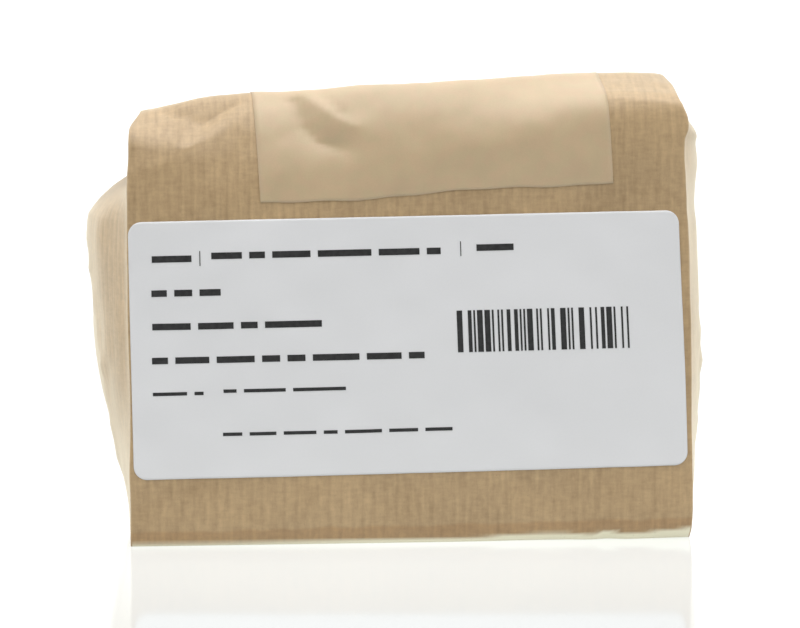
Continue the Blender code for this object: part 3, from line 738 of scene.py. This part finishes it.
def kraft_material():
    """Ribbed kraft paper: fine lines along the paper, cloudy fibre, small dark and light specks."""
    n = Nodes("kraft_paper")
    uv = n.uv()
    parts = n.new("ShaderNodeSeparateXYZ")
    n.feed(parts.inputs[0], uv)
    noises = {}
    for name, (across, up, detail, roughness) in KRAFT_NOISES.items():
        noises[name] = n.noise(n.stretch(uv, (across, up, 1.0)), 1.0, detail, roughness)
    phase = n.math("ADD", parts.outputs["X"], n.math("MULTIPLY", noises["drift"], RIB_DRIFT))
    wide = n.math("SINE", n.math("MULTIPLY", phase, 2 * math.pi / WIDE_RIB))
    narrow = n.math("SINE", n.math("MULTIPLY", phase, 2 * math.pi / NARROW_RIB))
    rib = n.math("ADD", n.math("MULTIPLY", wide, 0.5), n.math("MULTIPLY", narrow, 0.25))
    patch = n.math("ADD", n.math("MULTIPLY", noises["patch"], 2.0), -0.4)
    rib_strength = n.math("MULTIPLY", rib, patch)
    tone = n.math("MULTIPLY", rib_strength, RIB_SHARE)
    for name, share in KRAFT_SHARES.items():
        tone = n.math("ADD", tone, n.math("MULTIPLY", noises[name], share))
    colour = n.ramp(tone, ((DARK_END, KRAFT_DARK), (0.50, KRAFT), (PALE_END, KRAFT_PALE)))
    edge = n.math("MULTIPLY", n.math("MINIMUM", parts.outputs["X"], HALF_WIDTH), BAND_SLOPE)
    line = n.math("ADD", edge, n.math("MULTIPLY", noises["wobble"], BAND_WOBBLE))
    above = n.math("MULTIPLY", n.math("SUBTRACT", parts.outputs["Y"], line), 0.1)
    band = n.ramp(above, ((BAND_SOLID, WHITE), (BAND_GONE, BLACK)))
    colour = n.mix(band, colour, n.mix(1.0, colour, BAND_TINT, "MULTIPLY"))
    # Painted glare: the foot of the front turned pale cream as a highlight, kept off the underside
    hem = n.new("ShaderNodeAttribute", attribute_name="hem").outputs["Fac"]
    hem = n.math("MULTIPLY", hem, n.math("GREATER_THAN", parts.outputs["Y"], -BASE_SHIFT / 2))
    colour = n.mix(hem, colour, n.mix(HEM_GLARE_SHARE, colour, HEM_GLARE_CREAM))
    # Painted shade: the kraft darkened along the underside's fold lines and the outer flap's edge
    fold = base_folds(n, parts)
    colour = n.mix(n.ramp(fold, ((0.0, WHITE), (0.5, BLACK))), colour,
                   n.mix(1.0, colour, FOLD_SHADE_TINT, "MULTIPLY"))
    specks = n.ramp(noises["specks"], ((0.70, BLACK), (0.78, shade(WHITE, 0.45))))
    colour = n.mix(specks, colour, (*shade(KRAFT, SPECK_SHADE), 1.0))
    n.feed(n.shader.inputs["Base Color"], colour)
    n.feed(n.shader.inputs["Roughness"], n.math("ADD", n.math("MULTIPLY", noises["fibre"], 0.16), 0.46))
    n.shader.inputs["Specular IOR Level"].default_value = 0.8
    n.shader.inputs["Coat Weight"].default_value = 0.4
    n.shader.inputs["Coat Roughness"].default_value = 0.45
    n.shader.inputs["Sheen Weight"].default_value = 0.8
    n.shader.inputs["Sheen Roughness"].default_value = 0.4
    n.shader.inputs["Sheen Tint"].default_value = SHEEN_TINT
    height = n.math("ADD", n.math("MULTIPLY", rib_strength, 0.35), n.math("MULTIPLY", noises["fibre"], 0.5))
    height = n.math("ADD", height, n.math("MULTIPLY", n.math("MINIMUM", fold, 1.0), 3.0))
    n.feed(n.shader.inputs["Normal"], n.bump(height, 0.00006, 0.8))
    return n.material


def tape_material():
    """Smooth light brown paper tape, faintly mottled, with no ribs."""
    n = Nodes("paper_tape")
    uv = n.uv()
    cloud = n.noise(n.stretch(uv, (0.16, 0.14, 1.0)), 1.0, 3.0, 0.55)
    fibre = n.noise(n.stretch(uv, (3.0, 3.6, 1.0)), 1.0, 4.0, 0.7)
    tone = n.math("ADD", n.math("MULTIPLY", cloud, 0.6), n.math("MULTIPLY", fibre, 0.4))
    blotch = n.noise(n.stretch(uv, (0.35, 0.4, 1.0)), 1.0, 2.0)
    colour = n.mix(n.ramp(blotch, ((0.42, BLACK), (0.58, WHITE))), TAPE_WARM, TAPE_GREEN)
    mottle = n.ramp(tone, ((0.3, shade(WHITE, 0.90)), (0.7, shade(WHITE, 1.06))))
    colour = n.mix(1.0, colour, mottle, "MULTIPLY")
    n.feed(n.shader.inputs["Base Color"], colour)
    n.feed(n.shader.inputs["Roughness"], n.math("ADD", n.math("MULTIPLY", fibre, 0.12), 0.40))
    n.shader.inputs["Specular IOR Level"].default_value = 0.8
    n.shader.inputs["Coat Weight"].default_value = 0.1
    n.shader.inputs["Coat Roughness"].default_value = 0.45
    n.shader.inputs["Sheen Weight"].default_value = 0.2
    n.feed(n.shader.inputs["Normal"], n.bump(fibre, 0.00003, 0.5))
    return n.material


def label_material():
    """White label stock: very fine fibre and a soft, even gloss."""
    n = Nodes("label_paper")
    uv = n.uv()
    fibre = n.noise(n.stretch(uv, (2.4, 2.4, 1.0)), 1.0, 4.0, 0.7)
    cloud = n.noise(n.stretch(uv, (0.05, 0.05, 1.0)), 1.0, 2.0)
    tone = n.math("ADD", n.math("MULTIPLY", fibre, 0.4), n.math("MULTIPLY", cloud, 0.6))
    colour = n.ramp(tone, ((0.3, shade(LABEL_WHITE, 0.965)), (0.7, shade(LABEL_WHITE, 1.01))))
    n.feed(n.shader.inputs["Base Color"], colour)
    n.feed(n.shader.inputs["Roughness"], n.math("ADD", n.math("MULTIPLY", fibre, 0.1), 0.42))
    n.feed(n.shader.inputs["Normal"], n.bump(fibre, 0.00002, 0.4))
    return n.material


def ink_material():
    """Black thermal print, a little uneven."""
    n = Nodes("label_ink")
    patch = n.noise(n.solid(), 1400.0, 2.0)
    colour = n.ramp(patch, ((0.3, shade(WHITE, 0.012)), (0.7, shade(WHITE, 0.03))))
    n.feed(n.shader.inputs["Base Color"], colour)
    n.feed(n.shader.inputs["Roughness"], n.math("ADD", n.math("MULTIPLY", patch, 0.2), 0.4))
    return n.material


def root_material():
    """Dried root: rust brown skin, pale fibrous cuts."""
    n = Nodes("dried_root")
    place = n.solid()
    skin = n.noise(n.stretch(place, (260.0, 260.0, 700.0)), 1.0, 5.0, 0.65)
    patch = n.noise(place, 90.0, 3.0)
    tone = n.math("ADD", n.math("MULTIPLY", skin, 0.5), n.math("MULTIPLY", patch, 0.5))
    colour = n.ramp(tone, ((0.32, ROOT_SKIN), (0.5, ROOT_MIDDLE), (0.66, ROOT_CUT)))
    n.feed(n.shader.inputs["Base Color"], colour)
    n.shader.inputs["Roughness"].default_value = 0.9
    n.feed(n.shader.inputs["Normal"], n.bump(skin, 0.0006, 0.8))
    return n.material


def floor_material():
    """White glossy table that glows a little, most under the bag."""
    n = Nodes("white_table")
    n.shader.inputs["Base Color"].default_value = TABLE_GREY
    n.shader.inputs["Roughness"].default_value = 0.08
    n.shader.inputs["Specular IOR Level"].default_value = 0.35
    n.shader.inputs["Emission Color"].default_value = TABLE_GLOW_TINT
    nearness = n.new("ShaderNodeTexGradient", gradient_type="SPHERICAL")
    n.feed(nearness.inputs["Vector"], n.stretch(n.solid(), (1 / NEAR_REACH[0], 1 / NEAR_REACH[1], 1.0)))
    glow = n.math("ADD", n.math("MULTIPLY", nearness.outputs["Fac"], NEAR_GLOW), TABLE_GLOW)
    n.feed(n.shader.inputs["Emission Strength"], glow)
    return n.material


def hem_glare(columns, levels, s):
    """How much of each point lies on the turned-under hem of the front, which gets painted glare: a pale
    cream highlight.
    """
    left = smooth_curve(FRONT_LEFT, levels)[:, None]
    right = smooth_curve(FRONT_RIGHT, levels)[:, None]
    on_front = np.array([panel == "front" for panel, *_ in columns])[None, :]
    share = np.array([place for *_, place in columns])[None, :] * on_front
    hem = smooth_curve(HEM_LINE, (share * (left + right) - left).ravel()).reshape(s.shape)
    return on_front * (1 - smoothstep(*HEM_GLARE_EDGE, s - hem))


def make_bag():
    """The kraft sheet: rings round the bag, a base, and the paper's thickness inwards."""
    levels, columns = spaced(LEVEL_STRETCHES), bag_columns()
    points, u, s = relieved_bag(levels, columns)
    offsets = []
    for panel, side, back, _ in columns:
        if panel == "gusset":
            offsets.append((1, RIGHT_SHIFT) if side > 0 else (-1, LEFT_SHIFT))
        else:
            offsets.append((-1, BACK_SHIFT) if back else (1, 0.0))
    sign, shift = (np.array(part) for part in zip(*offsets))
    flat = np.stack([u * sign + shift, s], axis=-1)
    mesh = sheet_mesh("kraft_bag", points, flat, closed_across=True)
    # The share of painted glare, a pale cream highlight, along the hem's foot
    keep_values(mesh, "hem", hem_glare(columns, levels, s))
    bm = bmesh.new()
    bm.from_mesh(mesh)
    bm.verts.ensure_lookup_table()
    base = bm.faces.new([bm.verts[i] for i in reversed(range(len(columns)))])
    layer = bm.loops.layers.uv["paper"]
    for loop in base.loops:
        loop[layer].uv = (loop.vert.co.x / MM, loop.vert.co.y / MM - BASE_SHIFT)
    bm.to_mesh(mesh)
    bm.free()
    smooth(mesh)
    bag = add_piece("kraft_bag", mesh, kraft_material())
    shell = bag.modifiers.new("paper thickness", "SOLIDIFY")
    shell.thickness = PAPER_THICKNESS * MM
    shell.offset = -1.0
    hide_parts("paper_bag")
    return bag


def plate(name, u, s, lift, thickness, material):
    """A thin closed sheet that lies on the front paper, from grids of flat paper places."""
    shape = u.shape
    under, out = paper_surface(u.ravel(), s.ravel())
    under, out = under.reshape(*shape, 3), out.reshape(*shape, 3)
    mesh = sheet_mesh(name, under + out * (lift + thickness), np.stack([u, s], axis=-1))
    smooth(mesh)
    piece = add_piece(name, mesh, material)
    shell = piece.modifiers.new("sheet thickness", "SOLIDIFY")
    shell.thickness = thickness * MM
    shell.offset = -1.0
    return piece


def rounded_outline(across, up, size, corner):
    """Places over a rounded rectangle for fractions from -1 to 1."""
    half_width, half_height = size[0] / 2, size[1] / 2
    x, y = across * half_width, up * half_height
    edge_x, edge_y = np.abs(x) - (half_width - corner), np.abs(y) - (half_height - corner)
    in_corner = (edge_x > 0) & (edge_y > 0)
    a, b = np.clip(edge_x / corner, 0, 1), np.clip(edge_y / corner, 0, 1)
    x = np.where(in_corner, x - np.sign(x) * (edge_x - corner * a * np.sqrt(1 - b * b / 2)), x)
    y = np.where(in_corner, y - np.sign(y) * (edge_y - corner * b * np.sqrt(1 - a * a / 2)), y)
    return x, y


def turned(x, y, centre, angle):
    """Places on the flat paper of a label's or tape's own places."""
    return (centre[0] + x * math.cos(angle) - y * math.sin(angle),
            centre[1] + x * math.sin(angle) + y * math.cos(angle))


def fractions(half, corner, inner, in_corner):
    """Fractions from -1 to 1 along one side of a label, closer together at its corners."""
    start = 1 - corner / half
    return spaced(((-1.0, -start, (1 - start) / in_corner), (-start, start, 2 * start / inner),
                   (start, 1.0, (1 - start) / in_corner)))


def make_label():
    """The white front label."""
    up, across = np.meshgrid(fractions(LABEL_SIZE[1] / 2, LABEL_CORNER, LABEL_CELLS[1], LABEL_CORNER_CELLS),
                             fractions(LABEL_SIZE[0] / 2, LABEL_CORNER, LABEL_CELLS[0], LABEL_CORNER_CELLS),
                             indexing="ij")
    x, y = rounded_outline(across, up, LABEL_SIZE, LABEL_CORNER)
    u, s = turned(x, y, LABEL_CENTRE, LABEL_TURN)
    label = plate("white_label", u, s, LABEL_LIFT, LABEL_THICKNESS, label_material())
    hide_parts("label")
    return label


def print_bars():
    """Generic print as (left, bottom, width, height), in millimetres from the label's centre."""
    rng = random.Random(21)
    bars = []
    for start, right, centre, height in WORD_ROWS:
        while start < right - SHORTEST_WORD:
            width = min(rng.uniform(*SYLLABLE) * rng.choice((1, 2, 3)), right - start)
            bars.append((start, centre - height / 2, width, height))
            start += width + WORD_GAP
    bars += UPRIGHT_RULES
    left, right, bottom, height = UPRIGHT_BARS
    while left < right:
        width = rng.choice(BAR_WIDTHS)
        bars.append((left, bottom, width, height))
        left += width + rng.choice(BAR_WIDTHS)
    return bars


def make_print():
    """All the print as one set of thin closed films on the label."""
    bm = bmesh.new()
    for left, bottom, width, height in print_bars():
        columns = max(2, int(width / 1.0) + 1)
        x = np.linspace(left, left + width, columns)
        y = np.linspace(bottom, bottom + height, max(2, int(height / 2.0) + 1))
        grid_y, grid_x = np.meshgrid(y, x, indexing="ij")
        u, s = turned(grid_x, grid_y, LABEL_CENTRE, LABEL_TURN)
        place, out = paper_surface(u.ravel(), s.ravel())
        top = LABEL_LIFT + LABEL_THICKNESS
        films = []
        for lift in (top + INK_LIFT, top + INK_TOP):
            films.append([bm.verts.new(p * MM) for p in place + out * lift])
        rows, columns = grid_x.shape
        grid = np.arange(rows * columns).reshape(rows, columns)
        for i in range(rows - 1):
            for j in range(columns - 1):
                loop = [grid[i, j], grid[i, j + 1], grid[i + 1, j + 1], grid[i + 1, j]]
                bm.faces.new([films[1][k] for k in loop])
                bm.faces.new([films[0][k] for k in reversed(loop)])
        rim = list(grid[0, :-1]) + list(grid[:-1, -1]) + list(grid[-1, :0:-1]) + list(grid[:0:-1, 0])
        for here, there in zip(rim, rim[1:] + rim[:1]):
            bm.faces.new((films[0][here], films[0][there], films[1][there], films[1][here]))
    mesh = bpy.data.meshes.new("label_print")
    bm.to_mesh(mesh)
    bm.free()
    return add_piece("label_print", mesh, ink_material())


def make_tape():
    """The closure tape, its front end cut by hand and a little wavy."""
    side = np.linspace(-TAPE_WIDTH / 2, TAPE_WIDTH / 2, TAPE_COLUMNS)
    grid_run, grid_side = np.meshgrid(spaced(TAPE_STRETCHES), side, indexing="ij")
    wave = sum(height * np.sin(grid_side * number + phase) for height, number, phase in TAPE_WAVES)
    wave = wave * np.exp(-grid_run / TAPE_WAVE_FADE)
    u, s = turned(grid_side, grid_run + wave, TAPE_FOOT, TAPE_TURN)
    tape = plate("paper_tape", u, s, TAPE_LIFT, TAPE_THICKNESS, tape_material())
    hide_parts("closure_tape")
    return tape


def dress_root():
    """The cut root keeps its solid's shape and gets a better material."""
    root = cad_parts["cut_root_fill"]
    root.data.materials.clear()
    root.data.materials.append(root_material())


def studio_world():
    """Even white studio light, dimmer from the camera's side and brightest from behind and above."""
    world = bpy.data.worlds.new("studio")
    bpy.context.scene.world = world
    world.use_nodes = True
    tree = world.node_tree
    direction = tree.nodes.new("ShaderNodeTexCoord").outputs["Generated"]
    total = tree.nodes.new("ShaderNodeMath")
    lights = ((WORLD_LEAN, LEAN_RANGE, FRONT_LIGHT, BACK_LIGHT),
              (OVERHEAD, OVERHEAD_RANGE, 0.0, OVERHEAD_LIGHT))
    for socket, (axis, (low, high), dim, bright) in enumerate(lights):
        lean = tree.nodes.new("ShaderNodeVectorMath")
        lean.operation = "DOT_PRODUCT"
        lean.inputs[1].default_value = axis
        tree.links.new(direction, lean.inputs[0])
        brightness = tree.nodes.new("ShaderNodeMapRange")
        brightness.interpolation_type = "SMOOTHSTEP"
        for name, value in (("From Min", low), ("From Max", high), ("To Min", dim), ("To Max", bright)):
            brightness.inputs[name].default_value = value
        tree.links.new(lean.outputs["Value"], brightness.inputs["Value"])
        tree.links.new(brightness.outputs["Result"], total.inputs[socket])
    background = tree.nodes["Background"]
    background.inputs["Color"].default_value = (1.0, 1.0, 1.0, 1.0)
    tree.links.new(total.outputs[0], background.inputs["Strength"])


def make_stage():
    """A large white table under the studio light."""
    mesh = bpy.data.meshes.new("white_table")
    corners = [(x * TABLE_HALF, y * TABLE_HALF, 0) for x, y in ((-1, -1), (1, -1), (1, 1), (-1, 1))]
    mesh.from_pydata(corners, [], [(0, 1, 2, 3)])
    floor = bpy.data.objects.new("white_table", mesh)
    mesh.materials.append(floor_material())
    bpy.context.scene.collection.objects.link(floor)
    studio_world()


def make_camera():
    """The photograph's viewpoint."""
    level = math.cos(CAMERA_RISE)
    back = Vector((math.sin(CAMERA_TURN) * level, -math.cos(CAMERA_TURN) * level, math.sin(CAMERA_RISE)))
    data = bpy.data.cameras.new("camera")
    data.sensor_width, data.lens = SENSOR_WIDTH, CAMERA_LENS
    data.clip_start, data.clip_end = 0.01, 20.0
    camera = bpy.data.objects.new("camera", data)
    camera.location = (Vector(CAMERA_AIM) + back * CAMERA_DISTANCE) * MM
    camera.rotation_euler = (-back).to_track_quat("-Z", "Y").to_euler()
    bpy.context.scene.collection.objects.link(camera)
    bpy.context.scene.camera = camera


make_camera()
make_stage()
make_bag()
make_label()
make_print()
make_tape()
dress_root()
bpy.context.scene.view_settings.view_transform = "Standard"
